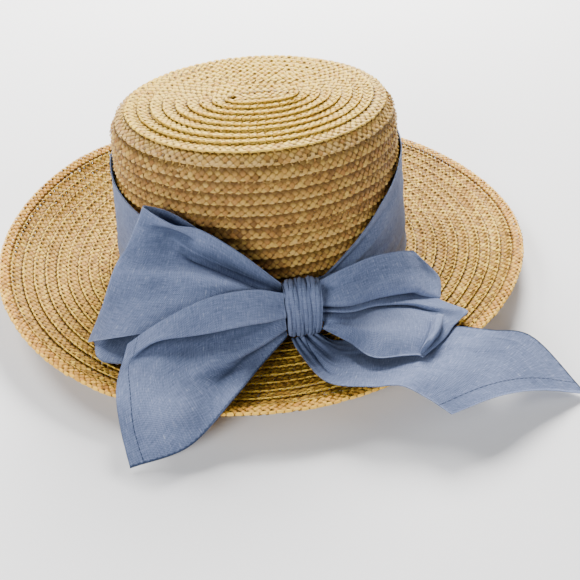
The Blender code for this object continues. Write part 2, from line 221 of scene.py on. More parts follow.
class StageLook(bpy.types.PropertyGroup):
    """The floor, the light and the camera."""
    floor: colour_property("Floor", "Colour of the plain floor", (0.86, 0.86, 0.87))
    key: FloatProperty(
        name="Key light", description="Power of the large light behind the hat",
        default=12.5, min=0, max=200, subtype="POWER", unit="POWER")
    focal: FloatProperty(
        name="Focal length", description="Focal length of the camera, in millimetres",
        default=38.51, min=10, max=200)


# Shader maths

class Socket:
    """One output of a shader node, on which Python's arithmetic adds Math nodes."""

    def __init__(self, tree, out):
        self.tree = tree
        self.out = out

    def maths(self, operation, *values):
        """A Math node on the values, or on this socket alone."""
        return self.tree.node("ShaderNodeMath", {"operation": operation}, dict(enumerate(values or (self,))))

    def __add__(self, other):
        return self.maths("ADD", self, other)

    def __sub__(self, other):
        return self.maths("SUBTRACT", self, other)

    def __rsub__(self, other):
        return self.maths("SUBTRACT", other, self)

    def __mul__(self, other):
        return self.maths("MULTIPLY", self, other)

    def __truediv__(self, other):
        return self.maths("DIVIDE", self, other)

    __radd__ = __add__

    def above(self, low, high):
        """0 below low, 1 above high and smooth between them."""
        return self.tree.node("ShaderNodeMapRange", {"interpolation_type": "SMOOTHSTEP"},
                              {"Value": self, "From Min": low, "From Max": high})


class Finish:
    """A material and the nodes behind its Principled shader."""

    def __init__(self, name, roughness, **constants):
        self.material = bpy.data.materials.new(name)
        self.material.use_nodes = True
        self.nodes = self.material.node_tree.nodes
        self.links = self.material.node_tree.links
        self.shader = self.nodes["Principled BSDF"]
        self.set(self.shader, {"Roughness": roughness, **constants})

    def set(self, node, inputs):
        for name, value in inputs.items():
            socket = node.inputs[name]
            if isinstance(value, Socket):
                self.links.new(value.out, socket)
            elif socket.type == "RGBA" and len(value) == 3:
                socket.default_value = (*value, 1.0)
            else:
                socket.default_value = value

    def node(self, kind, settings=None, inputs=None, out=0):
        """Add a node: its settings first, then its inputs; stops are a ramp's positions and colours."""
        made = self.nodes.new(kind)
        settings = dict(settings or {})
        stops = settings.pop("stops", None)
        for name, value in settings.items():
            setattr(made, name, value)
        if stops:
            while len(made.color_ramp.elements) < len(stops):
                made.color_ramp.elements.new(1.0)
            for element, (place, colour) in zip(made.color_ramp.elements, stops):
                element.position = place
                element.color = (*colour, 1.0)
        self.set(made, inputs or {})
        return Socket(self, made.outputs[out])

    def attribute(self, name):
        return self.node("ShaderNodeAttribute", {"attribute_name": name}, out="Fac")

    def axes(self, vector):
        """The three parts of a vector."""
        first = self.node("ShaderNodeSeparateXYZ", {}, {0: vector})
        return [Socket(self, out) for out in first.out.node.outputs]

    def noise(self, vector, scale, detail=2.0):
        """Noise of the given scale along each axis."""
        scaled = self.node("ShaderNodeVectorMath", {"operation": "MULTIPLY"}, {0: vector, 1: scale})
        return self.node("ShaderNodeTexNoise", {}, {"Vector": scaled, "Scale": 1.0, "Detail": detail})

    def mix(self, share, first, second, blend="MIX"):
        return self.node("ShaderNodeMix", {"data_type": "RGBA", "blend_type": blend, "clamp_factor": True},
                         {0: share, 6: first, 7: second}, out=2)

    def use(self, colour, roughness, height, distance, strength=1.0):
        """Feed the shader with what changes over the surface; height is raised by distance, in metres."""
        bump = self.node("ShaderNodeBump", {}, {"Height": height, "Distance": distance, "Strength": strength})
        self.set(self.shader, {"Base Color": colour, "Roughness": roughness, "Normal": bump})
        return self.material


# painted light: the straw is painted paler towards the crown's top, and the tip's tint is painted light too
PAINTED_LIGHT_HEIGHTS = (0.088, 0.104)       # heights in metres, over which the straw turns paler
TIP_TINT = (0.1015, 0.1053)     # and over which the wall's tint gives way to the tip's
STITCH = 2.6                    # length of a stitch and the gap after it
HEM_LINE = (0.15, 0.35)         # half width of the line pressed in by the stitches, and where it ends


def shaded(colour, share):
    return [part * share for part in colour]


def straw_finish(name, look, tint, low_tint):
    """Split straw with a satin skin: a tone for every strand, fine grain along it, and painted shade in the hollows,
    in the openings and under the row beside each row.

    low_tint takes the place of tint below the crown's tip: the tip's tint and its paler top are painted light,
    and the wall's tint is partly browner straw and partly painted shade.
    """
    finish = Finish(name, 0.45, **{"Specular IOR Level": 0.18})
    strand = finish.node("ShaderNodeUVMap", {"uv_map": "strand"})
    place = finish.node("ShaderNodeTexCoord", out="Object")
    tone = finish.attribute("tone")
    border = finish.attribute("border")
    grain = finish.noise(strand, (0.25, 6.0, 1.0), 3.0)
    fibre = finish.noise(strand, (0.6, 16.0, 1.0))
    age = finish.noise(place, (18.0, 18.0, 18.0), 3.0)
    level = finish.axes(place)[2]
    # painted light: paler towards the crown's top, standing in for the stronger light there
    lit = level.above(*PAINTED_LIGHT_HEIGHTS)
    mottle = finish.noise(place, (170.0, 170.0, 170.0))
    paleness = tone * 0.80 + grain * 0.44 + age * 0.45 + mottle * 0.62 + lit * 0.42 - 0.68
    colour = finish.node("ShaderNodeValToRGB", {"stops": [
        (0.0, look.deep), (0.45, look.middle), (0.80, look.pale), (1.0, [0.05 + 0.95 * part for part in look.pale])]},
        {"Fac": paleness})
    warm = (tone * 7.3).maths("FRACT").above(0.55, 0.95)
    colour = finish.mix(warm * 0.45, colour, look.warm)
    # painted light and shade by height: the tip's lit tint above, the wall's partly shaded tint below
    colour = finish.mix(1.0, colour, finish.mix(level.above(*TIP_TINT), low_tint, tint), "MULTIPLY")
    # painted shade: hollows between crossings, openings and the lap under the row beside are darkened to deep straw
    hollow = border.above(0.70, 1.0)
    hole = finish.attribute("hole").above(0.16, 0.55)
    under = finish.attribute("under").above(0.05, 0.8)
    painted_shade = 1 - (1 - hollow * 0.60) * (1 - under * 0.80) * (1 - hole * 0.92)
    colour = finish.mix(painted_shade, colour, shaded(look.deep, 0.30))
    return finish.use(colour, 0.42 + grain * 0.20 + hole * 0.3, grain * 0.6 + fibre * 0.4, 0.00014, 0.7)


def cloth_finish(name, look, wear):
    """Plain weave of dyed warp and pale weft, with slubs, a stitched hem, overlocked edges, rubbed rims,
    and painted light on the crests with painted shade in the folds' valleys.
    """
    finish = Finish(name, 0.85, **{"Specular IOR Level": 0.15, "Sheen Weight": 0.05, "Sheen Roughness": 0.5})
    weave = finish.node("ShaderNodeUVMap", {"uv_map": "weave"})
    across, along, _ = finish.axes(weave)
    turn = math.pi / (look.thread * M_TO_MM)
    crossing = (across * turn).maths("SINE") * (along * turn).maths("SINE")
    warp_slub = finish.noise(weave, (1.9, 0.16, 1.0), 3.0)
    weft_slub = finish.noise(weave, (0.20, 1.9, 1.0), 3.0)
    cloud = finish.noise(weave, (0.06, 0.06, 1.0), 3.0)
    share = 0.48 + crossing * 0.30 + (warp_slub - 0.5) * 0.75 + (weft_slub - 0.5) * 0.85 + (cloud - 0.5) * 0.30
    rim = finish.attribute("rim")
    proud = finish.attribute("proud")
    # painted light: crests are painted paler; the rims are rubbed paler
    share = share + rim * (0.12 + wear) + proud * 0.16
    colour = finish.mix(share, look.warp, look.weft)
    fleck = weft_slub.above(0.60, 0.72) * warp_slub.above(0.42, 0.6)
    colour = finish.mix(fleck * 0.45, colour, [0.3 + 0.6 * part for part in look.weft])
    # painted shade: the folds' valleys are darkened towards the warp
    colour = finish.mix((0 - proud).above(0.1, 1.0) * 0.6, colour, shaded(look.warp, 0.55))
    edge = finish.attribute("edge")
    run = finish.attribute("run")
    hem = look.hem * M_TO_MM
    line = 1 - (edge - hem).maths("ABSOLUTE").above(*HEM_LINE)
    stitch = line * (run / STITCH).maths("FRACT").above(0.30, 0.42)
    colour = finish.mix(line * 0.45 + stitch * 0.45, colour, shaded(look.warp, 0.45))
    colour = finish.mix(finish.attribute("lock").above(0.2, 0.5) * 0.85, colour, shaded(look.warp, 0.6))
    height = crossing * 0.3 + warp_slub * 0.4 + weft_slub * 0.5 + stitch * 1.2 - line * 0.9
    return finish.use(colour, 0.78 + weft_slub * 0.15, height, 0.00016, 0.7)


# Meshes

def add_object(name, data):
    made = bpy.data.objects.new(name, data)
    bpy.context.scene.collection.objects.link(made)
    return made


def travelled(grid, axis):
    """Distance gone along one axis of a grid of points, from its first ones."""
    steps = np.linalg.norm(np.diff(grid, axis=axis), axis=-1)
    return np.cumsum(np.concatenate([np.zeros_like(steps.take([0], axis)), steps], axis), axis)


def add_mesh(name, points, faces, maps, values, material, welded=None):
    """Add a mesh from points in millimetres, with UV maps and float values given for each point.

    welded gives for each point the one that it is joined to, so that a seam keeps both its UV places.
    """
    kept = np.arange(len(points)) if welded is None else np.unique(welded)
    number = np.zeros(len(points), dtype=int)
    number[kept] = np.arange(len(kept))
    joined = faces if welded is None else number[welded[faces]]
    mesh = bpy.data.meshes.new(name)
    mesh.from_pydata((np.asarray(points)[kept] * MM).tolist(), [], joined.tolist())
    for title, uv in maps.items():
        layer = mesh.uv_layers.new(name=title)
        layer.data.foreach_set("uv", np.asarray(uv, dtype=np.float32)[faces.ravel()].ravel())
    for title, value in values.items():
        layer = mesh.attributes.new(title, "FLOAT", "POINT")
        layer.data.foreach_set("value", np.asarray(value, dtype=np.float32)[kept])
    mesh.materials.append(material)
    mesh.shade_smooth()
    piece = add_object(name, mesh)
    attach(piece, BODY)
    return piece


def grid_faces(rows, columns):
    """Quads of a grid of points numbered row by row."""
    first = (np.arange(rows - 1)[:, None] * columns + np.arange(columns - 1)[None, :]).ravel()
    return np.stack([first, first + 1, first + columns + 1, first + columns], axis=1)


# The hat's surface: mean radius and height at a distance s over the straw from the middle of the tip

WALL_LEAN = math.atan2(HEAD_RADIUS - TIP_RADIUS, CROWN_HEIGHT)


def crown_profile():
    """Points and outward normals along the inside of the crown, from the plait's start to the brim's seat."""
    lean, turn = WALL_LEAN, math.pi / 2 - WALL_LEAN
    corner_height = CROWN_HEIGHT - CORNER_RADIUS
    wall_there = HEAD_RADIUS - corner_height * math.tan(lean)
    corner_radius = wall_there - CORNER_RADIUS / math.cos(lean)
    inner = CORNER_RADIUS - STRAW_THICK
    points = [(radius, CROWN_HEIGHT - STRAW_THICK, 0.0, 1.0) for radius in np.linspace(OVAL, corner_radius, 40)]
    for angle in np.linspace(0, turn, 40)[1:]:
        out = (math.sin(angle), math.cos(angle))
        points.append((corner_radius + inner * out[0], corner_height + inner * out[1], *out))
    radius, height, out_radius, out_height = points[-1]
    # The bend into the brim touches the wall's inside above and the seat plane below, from outside
    inside_foot = HEAD_RADIUS - STRAW_THICK / math.cos(lean)
    foot_centre = inside_foot - FOOT_RADIUS * math.tan(lean) + FOOT_RADIUS / math.cos(lean)
    bend_top = FOOT_RADIUS * (1 - math.sin(lean))
    drop = height - bend_top
    for share in np.linspace(0, 1, 60)[1:]:
        points.append((radius + drop * share * math.tan(lean), height - drop * share, out_radius, out_height))
    for angle in np.linspace(turn, 0, 30)[1:]:
        out = (math.sin(angle), math.cos(angle))
        points.append((foot_centre - FOOT_RADIUS * out[0], FOOT_RADIUS * (1 - out[1]), *out))
    return np.array(points)


PROFILE = crown_profile()
PROFILE_AT = np.concatenate([[0.0], np.cumsum(np.hypot(np.diff(PROFILE[:, 0]), np.diff(PROFILE[:, 1])))])
CROWN_REACH = PROFILE_AT[-1]        # length of the crown's profile, where the brim's seat begins
SEAT_START = PROFILE[-1, 0]
EDGE_START = CROWN_REACH + HEAD_RADIUS - SEAT_START + BRIM_WIDTH - EDGE_ROW      # where the edge row begins


def upturn(angle):
    return (UPTURN["mean"] + UPTURN["cos1"] * np.cos(angle) + UPTURN["sin1"] * np.sin(angle)
            + UPTURN["cos2"] * np.cos(2 * angle) + UPTURN["sin2"] * np.sin(2 * angle)
            + UPTURN["corners"] * np.sin(2 * angle) ** 2 * (1 + np.sin(angle)))


def hat_surface(s, angle, height):
    """Points at a height over the straw's underside."""
    radius, level, out_radius, out_level = (np.interp(s, PROFILE_AT, PROFILE[:, k]) for k in range(4))
    past = s - CROWN_REACH + SEAT_START - HEAD_RADIUS
    turned = upturn(angle)
    rate = turned * UPTURN_GAIN / BRIM_WIDTH
    start = turned * UPTURN_AT_FOOT
    slope = start + rate * (past - SEAT_WIDTH)
    up = past > SEAT_WIDTH
    on_brim = s > CROWN_REACH
    brim_radius = np.where(up, HEAD_RADIUS + SEAT_WIDTH + (np.sin(slope) - np.sin(start)) / rate, HEAD_RADIUS + past)
    brim_level = np.where(up, (np.cos(start) - np.cos(slope)) / rate, 0.0)
    radius = np.where(on_brim, brim_radius, radius)
    level = np.where(on_brim, brim_level, level)
    out_radius = np.where(on_brim, np.where(up, -np.sin(slope), 0.0), out_radius)
    out_level = np.where(on_brim, np.where(up, np.cos(slope), 1.0), out_level)
    radius = radius + height * out_radius
    aside = TIP_SHIFT * np.clip(1 - s / TIP_REACH, 0, 1)
    return np.stack([(radius + OVAL) * np.cos(angle) + aside, (radius - OVAL) * np.sin(angle),
                     level + height * out_level], axis=-1)


class Course:
    """The line that a plait is laid along, and the way across it at each place."""

    def __init__(self, angles, starts, width):
        middle = starts + width / 2
        step = 1e-3
        points = hat_surface(middle, angles, 0.0)
        out = (hat_surface(middle + step, angles, 0.0) - hat_surface(middle - step, angles, 0.0)) / (2 * step)
        round_it = (hat_surface(middle, angles + step, 0.0) - hat_surface(middle, angles - step, 0.0)) / (2 * step)
        slant = np.gradient(starts, angles)
        g_oo, g_or, g_rr = ((a * b).sum(-1) for a, b in ((out, out), (out, round_it), (round_it, round_it)))
        skew = (g_or + slant * g_oo) / (g_rr + slant * g_or)
        self.out_share = 1 / np.sqrt(g_oo - 2 * skew * g_or + skew ** 2 * g_rr)
        self.round_share = -self.out_share * skew
        self.angles, self.starts, self.width = angles, starts, width
        self.length = travelled(points, 0)

    def place(self, along, across, height):
        """Points at distances along and across the plait, and a height over the straw's underside."""
        angle, start, out_share, round_share = (
            np.interp(along, self.length, values)
            for values in (self.angles, self.starts, self.out_share, self.round_share))
        off = across - self.width / 2
        return hat_surface(start + self.width / 2 + off * out_share, angle + off * round_share, height)


class Strip:
    """The straight start of the plait, in the middle of the tip."""

    def __init__(self, start, direction, width):
        self.start, self.direction, self.width = start, direction, width

    def place(self, along, across, height):
        (x, y), (ahead_x, ahead_y) = self.start, self.direction
        off = across - self.width / 2
        return np.stack([x + along * ahead_x - off * ahead_y, y + along * ahead_y + off * ahead_x,
                         CROWN_HEIGHT - STRAW_THICK + height + 0 * off], axis=-1)


# Plait

CELL_ENDS = np.array([-0.62, -0.36, 0.0, 0.36, 0.62])   # along the strand, in strand widths
FOLD_ROWS = np.array([(0.0, -0.30), (0.16, 1.05), (0.46, 0.72), (0.88, 0.0)])   # depth in half widths, height
SIDES = np.array([-0.47, 0.0, 0.47])                    # across a cell or a fold
EDGE_TUCK = 0.25            # how far the outermost crossings are drawn in under the folds
SCALLOP = 0.42              # how far the edge draws back between two folds
HOLE_SIZE = 0.80            # small openings in line, where a fold meets three strands
STRANDS = 5
STRAW_LENGTH = 45           # teeth that one straw lasts before the next is joined in
FLARE = 2.6                 # how late a row rises to its proud edge
# painted shade: how far the shade painted under the row beside each row reaches
SHADE = 1.1                 # how far out from under the row before it a row is shaded
SHADE_WALL = 4.2            # the same on the wall
LAP = (0.50, 2.05)          # height of the plait's middle over the underside, at its inner and outer edge
LAP_WALL = (0.45, 2.35)     # the same on the outside of the wall, whose rows stand prouder
BULGE = 0.60                # how far a strand bows up between its crossings
BULGE_BRIM = 0.46
BULGE_HIDDEN = 0.5          # on the inside of the crown and the underside of the brim
BULGE_EDGE = 0.8
OPENNESS = {"plaited_tip": 0.8, "plaited_wall": 0.55, "brim": 1.9}     # how far the openings gape
TONE = (0.5, 0.17, 0.08)    # of a strand: its mean, and how much straws and single crossings vary
# painted light: folds are painted paler, partly as worn straw and partly for the light their upturned faces catch
FOLD_PALER = 0.46           # how much paler a fold is than the crossings beside it
PLAIT_VALUES = ("tone", "border", "hole", "under")
CROWN_END = 6.0             # how far before the brim's seat the crown's last row ends
WALL_START = 64.0           # where the spiral's rows turn down into the wall, from the middle of the tip
SPIRAL_STEPS = 9000
RING_STEPS = 900
RING_OVERLAP = 0.3          # radians that a ring's line runs on past its ends


def wave(rng, length, size, spacing):
    """A smooth random wobble over a length."""
    knots = max(4, int(length / spacing))
    heights = rng.normal(0, size, knots + 1)
    return lambda along: np.interp(along, np.linspace(0, length, knots + 1), heights)


def plait(course, length, tooth, pitch, side, rng, lap, bulge, openness=1.0, puff=0.0, first=0.0, shade=SHADE):
    """Points, faces, maps and values of one face of a plait; side is 1 for its upper face and -1 for the lower.

    Strands cross at 45 degrees. Each crossing shows one strand, and at the edge each strand folds over
    into a triangle whose base lies along the edge. The plait begins at first along its course, and puff
    is how far its middle swells.
    """
    half = course.width / 4
    count = max(3, int(round(length / tooth)))
    tooth = length / count
    rise = wave(rng, length, 0.10, 22.0)
    drift = wave(rng, length, 0.16, 30.0)
    index = np.arange(count)
    row, place = np.repeat((1, 2, 3), count), np.tile(index, 3)
    cells = np.stack([(place + 0.5 * (row % 2)) * tooth, row * half - EDGE_TUCK], 1)
    turned = np.where(row % 2, 1, -1)
    number = np.stack([place, row], 1)
    openings = openness * rng.uniform(0.15, 1.15, count)

    def hole(along, deep):
        nearest = np.round(along / tooth).astype(int)
        away = (along - nearest * tooth) ** 2 + (deep - half + EDGE_TUCK) ** 2
        return openings[nearest % count] * np.exp(-away / HOLE_SIZE ** 2)

    ends, sides = (x.ravel() for x in np.meshgrid(CELL_ENDS, SIDES, indexing="ij"))
    size = rng.normal(1.0, 0.04, (len(cells), 1))
    tilt = rng.normal(0, 0.09, (2, len(cells), 1))
    lift = rng.normal(0, 0.05, (len(cells), 1))
    jog = rng.normal(0, 0.06, (2, len(cells), 1))
    along = cells[:, :1] + (ends + sides) * size * tooth / 2
    deep = cells[:, 1:] + (ends - sides) * size * turned[:, None] * half
    opening = hole(along, deep)
    along = along + jog[0]
    deep = np.maximum(deep + jog[1], SCALLOP)
    reach = np.abs(ends) / CELL_ENDS[-1]
    bow = bulge * (0.80 * (1 - reach ** 2) - 0.30 * reach ** 2 - 0.34 * (2 * sides) ** 2)
    high = bow + lift + tilt[0] * ends + tilt[1] * sides - 0.5 * opening
    border = np.broadcast_to(np.maximum(np.abs(2 * sides), reach), along.shape)
    strand = np.stack([ends * tooth + 0 * size, sides * tooth + 0 * size], -1) + rng.uniform(0, 400, (len(cells), 1, 2))

    depth, rises = FOLD_ROWS[:, 0], FOLD_ROWS[:, 1]
    inward, lateral = (x.ravel() for x in np.meshgrid(depth, SIDES, indexing="ij"))
    narrow = np.maximum(1 - inward / depth[-1], 0.06)
    fold_size = rng.normal(1.0, 0.10, (count, 1))
    ragged = rng.normal(0, 0.10, (count, 1)) + 0.7 * SCALLOP * (2 * lateral) ** 2 * narrow
    fold_along = index[:, None] * tooth + lateral * tooth * narrow + rng.normal(0, 0.10, (count, 1))
    fold_deep = inward * half * fold_size + ragged
    fold_high = (np.repeat(rises, len(SIDES)) * bulge - 0.35 * (2 * lateral) ** 2 * narrow
                 + rng.normal(0, 0.07, (count, 1)))
    fold_opening = hole(fold_along, fold_deep)
    fold_border = np.broadcast_to(np.abs(2 * lateral) * 0.9, fold_along.shape)
    fold_strand = np.stack([(lateral + inward) * tooth + 0 * fold_size, (lateral - inward) * tooth + 0 * fold_size], -1)
    fold_strand = fold_strand + rng.uniform(0, 400, (count, 1, 2))

    def under(deep):
        """1 where the plait goes under the row beside it, fading over shade: the mask of the painted shade there."""
        return np.clip(1 - (pitch - deep) / shade, 0, 1).ravel()

    def lay(along, deep, high):
        across = course.width - deep if side > 0 else deep
        share = np.clip(across / course.width, -0.1, 1.1)
        middle = lap[0] + (lap[1] - lap[0]) * np.maximum(share, 0) ** FLARE + rise(along)
        swell = puff * np.sqrt(np.clip(1 - (2 * share - 1) ** 2, 0, 1))
        return course.place(first + along, across + drift(along), middle + side * (high + swell)).reshape(-1, 3)

    tones = rng.normal(0, 1, (STRANDS, 2 + count // STRAW_LENGTH))

    def tone_of(number, turned):
        line = number[:, 0] - turned * (number[:, 1] // 2)
        own = tones[line % STRANDS, np.clip(line // STRAW_LENGTH, 0, tones.shape[1] - 1)]
        return np.clip(TONE[0] + TONE[1] * own + rng.normal(0, TONE[2], len(number)), 0, 1)

    cell_tone = np.repeat(tone_of(number, turned), len(ends))
    fold_number = np.stack([index, np.zeros(count, int)], 1)
    # folds painted paler: partly worn straw, partly painted light
    fold_tone = np.repeat(np.clip(tone_of(fold_number, np.ones(count, int)) + FOLD_PALER, 0, 1), len(inward))

    def tiles(first_point, tile_count, rows, columns):
        starts = first_point + np.arange(tile_count)[:, None, None] * (rows * columns)
        return (starts + grid_faces(rows, columns)).reshape(-1, 4)

    cell_points = lay(along, deep, high)
    shapes = [(len(cells), len(CELL_ENDS), len(SIDES)), (count, len(depth), len(SIDES))]
    faces = np.concatenate([tiles(0, *shapes[0]), tiles(len(cell_points), *shapes[1])])
    per_cell, per_fold = ((rows - 1) * (columns - 1) for _, rows, columns in shapes)
    flips = np.concatenate([np.repeat(turned < 0, per_cell), np.full(count * per_fold, True)])
    faces[flips] = faces[flips][:, ::-1]
    both = {"points": (cell_points, lay(fold_along, fold_deep, fold_high)),
            "tone": (cell_tone, fold_tone),
            "border": (border.ravel(), fold_border.ravel()),
            "hole": (opening.ravel(), fold_opening.ravel()),
            "under": (under(deep), under(fold_deep)),
            "strand": (strand.reshape(-1, 2), fold_strand.reshape(-1, 2))}
    return {"faces": faces, "tiles": shapes, **{title: np.concatenate(pair) for title, pair in both.items()}}


def bake_map(shapes):
    """A UV map that gives every tile of a plait its own square."""
    total = sum(shape[0] for shape in shapes)
    columns = math.ceil(math.sqrt(total))
    maps, number = [], 0
    for count, rows, sides in shapes:
        slots = np.arange(number, number + count)
        number += count
        down, right = np.meshgrid(np.linspace(0.1, 0.9, rows), np.linspace(0.1, 0.9, sides), indexing="ij")
        u = (slots % columns)[:, None] + right.ravel()[None]
        v = (slots // columns)[:, None] + down.ravel()[None]
        maps.append(np.stack([u, v], -1).reshape(-1, 2) / columns)
    return np.concatenate(maps)


def add_plaits(name, parts, material):
    """Join plaits into one piece."""
    offset, faces = 0, []
    for part in parts:
        faces.append(part["faces"] + offset)
        offset += len(part["points"])
    joined = {key: np.concatenate([part[key] for part in parts]) for key in ("points", *PLAIT_VALUES, "strand")}
    shapes = [shape for part in parts for shape in part["tiles"]]
    maps = {"OFBake": bake_map(shapes), "strand": joined["strand"]}
    piece = add_mesh(name, joined["points"], np.concatenate(faces), maps,
                     {key: joined[key] for key in PLAIT_VALUES}, material)
    return piece


def ring(start, width):
    """The course of one closed row, with the place along it where the round begins, and its length."""
    angles = np.linspace(-RING_OVERLAP, 2 * math.pi + RING_OVERLAP, RING_STEPS)
    course = Course(angles, np.full(len(angles), start), width)
    low, high = (float(np.interp(angle, angles, course.length)) for angle in (0.0, 2 * math.pi))
    return course, low, high - low


# on the crown, the tip's tint is painted light and the wall's partly painted shade
STRAWS = {"plaited straw": ("brim", "brim"), "plaited crown straw": ("tip", "wall"),
          "plaited edge straw": ("edge", "edge")}      # tint at the top and below the tip


def straw_for(context, name):
    """One of the hat's straws, made once, and the plait's pitch, width and tooth."""
    look = context.scene.straw_look
    tints = (tuple(getattr(look, tint)) for tint in STRAWS[name])
    straw = bpy.data.materials.get(name) or straw_finish(name, look, *tints)
    return (straw, *(value * M_TO_MM for value in (look.row_pitch, look.plait_width, look.tooth)))


# Cloth

WEAR = {"woven chambray": 0.0, "wound chambray": 0.12}     # how much paler a rim is rubbed
PROUD_ROUNDS = 50           # of smoothing, for a sheet that folds of 5 mm stand out of
PROUD_HEIGHT = 1.3          # of a crest over the smoothed sheet painted quite pale as painted light, and of a fold painted dark as painted shade
FAR = 100.0                 # distance from the hem where there is none
LOCK_STITCH = 2.4           # from one overlocking stitch to the next
RIM = 0.8                   # width of the rubbed rim
CRUMPLES = 14               # small slanting ridges and hollows in each folded sheet
BAND_CRUMPLES = 22          # small ridges along the band
LOOP_GRID = (160, 80)       # points along and across
TAIL_GRID = (140, 80)
BAND_GRID = (481, 42)
KNOT_GRID = (145, 61)


def smooth_rows(points, count):
    """A smooth curve through the first axis of an array, evenly spaced from one given point to the next."""
    padded = np.concatenate([2 * points[:1] - points[1:2], points, 2 * points[-1:] - points[-2:-1]])
    place = np.linspace(0, len(points) - 1, count)
    k = np.minimum(place.astype(int), len(points) - 2)
    t = (place - k).reshape(-1, *[1] * (points.ndim - 1))
    p0, p1, p2, p3 = (padded[k + n] for n in range(4))
    return 0.5 * (2 * p1 + (p2 - p0) * t + (2 * p0 - 5 * p1 + 4 * p2 - p3) * t ** 2
                  + (3 * p1 - p0 - 3 * p2 + p3) * t ** 3)


def normals_of(grid):
    along = np.gradient(grid, axis=0)
    across = np.gradient(grid, axis=1)
    normal = np.cross(along, across)
    return normal / np.maximum(np.linalg.norm(normal, axis=-1, keepdims=True), 1e-9)


def proud_of(grid, normal):
    """How far each point stands out of the smoothed sheet: 1 on a sharp crest and -1 deep in a fold."""
    soft = grid
    for _ in range(PROUD_ROUNDS):
        for axis in (0, 1):
            turned = np.swapaxes(soft, 0, axis)
            middle = (turned[:-2] + 2 * turned[1:-1] + turned[2:]) / 4
            soft = np.swapaxes(np.concatenate([turned[:1], middle, turned[-1:]]), 0, axis)
    return np.clip(((grid - soft) * normal).sum(-1) / PROUD_HEIGHT, -1, 1)


def bump_at(place, centre, width):
    return np.exp(-((place - centre) / width) ** 2)


def cloth_piece(name, grid, look, finish="woven chambray", closed=False, locked=None):
    """A sheet of real thickness from a grid of points.

    A closed one goes once round and meets itself. locked names the overlocked edge of a free end of the
    scarf, whose last row of points is then hemmed.
    """
    rows, columns = grid.shape[:2]
    normal = normals_of(grid)
    if closed:
        normal[0] = normal[-1] = (normal[0] + normal[-1]) / np.linalg.norm(normal[0] + normal[-1], axis=-1)[:, None]
    along_mm, across_mm = travelled(grid, 0), travelled(grid, 1)
    along_mean = along_mm.mean(1)[:, None] + 0 * across_mm
    to_end = along_mm[-1:] - along_mm
    sides = {"upper": across_mm, "lower": across_mm[:, -1:] - across_mm}
    edge, run, lock = np.full((rows, columns), FAR), 0 * across_mm, 0 * across_mm
    if locked:
        edge = np.minimum(to_end, FAR)
        run = np.where(to_end < FAR, across_mm, 0)
        lock = np.exp(-(sides[locked] + 0.3 * np.sin(2 * math.pi * along_mean / LOCK_STITCH)))
    nearest = np.minimum(sides["upper"], sides["lower"])
    rim = np.exp(-(nearest if closed else np.minimum(nearest, np.minimum(along_mm, to_end))) / RIM)
    weave = np.stack([across_mm, along_mean], -1)
    row_at, column_at = np.meshgrid(np.linspace(0.01, 0.99, rows), np.linspace(0.01, 0.49, columns), indexing="ij")
    thick = look.thickness * M_TO_MM
    faces = grid_faces(rows, columns)
    number = np.arange(rows * columns).reshape(rows, columns)
    outline = [number[:, 0], number[:, -1][::-1]]
    if not closed:
        outline = [np.concatenate([number[:, 0], number[-1, 1:], number[:-1, -1][::-1], number[0, :-1][::-1]])]
    rims = [np.stack([line[:-1], line[1:], line[1:] + rows * columns, line[:-1] + rows * columns], 1)
            for line in outline]
    points = np.concatenate([(grid + part * normal * thick / 2).reshape(-1, 3) for part in (1, -1)])
    all_faces = np.concatenate([faces[:, ::-1], faces + rows * columns, *rims])
    bake = np.concatenate([np.stack([column_at + aside, row_at], -1).reshape(-1, 2) for aside in (0, 0.5)])
    proud = proud_of(grid, normal)
    values = {title: np.concatenate([front.ravel(), back.ravel()]) for title, front, back in (
        ("edge", edge, edge), ("run", run, run), ("rim", rim, rim), ("lock", lock, lock), ("proud", proud, -proud))}
    maps = {"OFBake": bake, "weave": np.concatenate([weave.reshape(-1, 2)] * 2)}
    welded = None
    if closed:
        welded = np.arange(len(points)).reshape(2, rows, columns)
        welded[:, -1] = welded[:, 0]
        welded = welded.ravel()
    cloth = bpy.data.materials.get(finish) or cloth_finish(finish, look, WEAR[finish])
    piece = add_mesh(name, points, all_faces, maps, values, cloth, welded)
    return piece


def shares(rows, columns):
    """A column of shares from 0 to 1 along a grid, and a row of them across it."""
    return np.linspace(0, 1, rows)[:, None], np.linspace(0, 1, columns)[None, :]


def crease(u, v, path, span, height, width):
    """A sharp crest, or a groove for a height below 0, along a path of v that is given at even steps of u."""
    low, high = span
    there = np.clip((u - low) / (high - low), 0, 1)
    line = np.interp(there, np.linspace(0, 1, len(path)), path)
    fade = np.clip(4 * there * (1 - there) * 1.6, 0, 1)
    return height * fade * np.exp(-np.abs(v - line) / width)


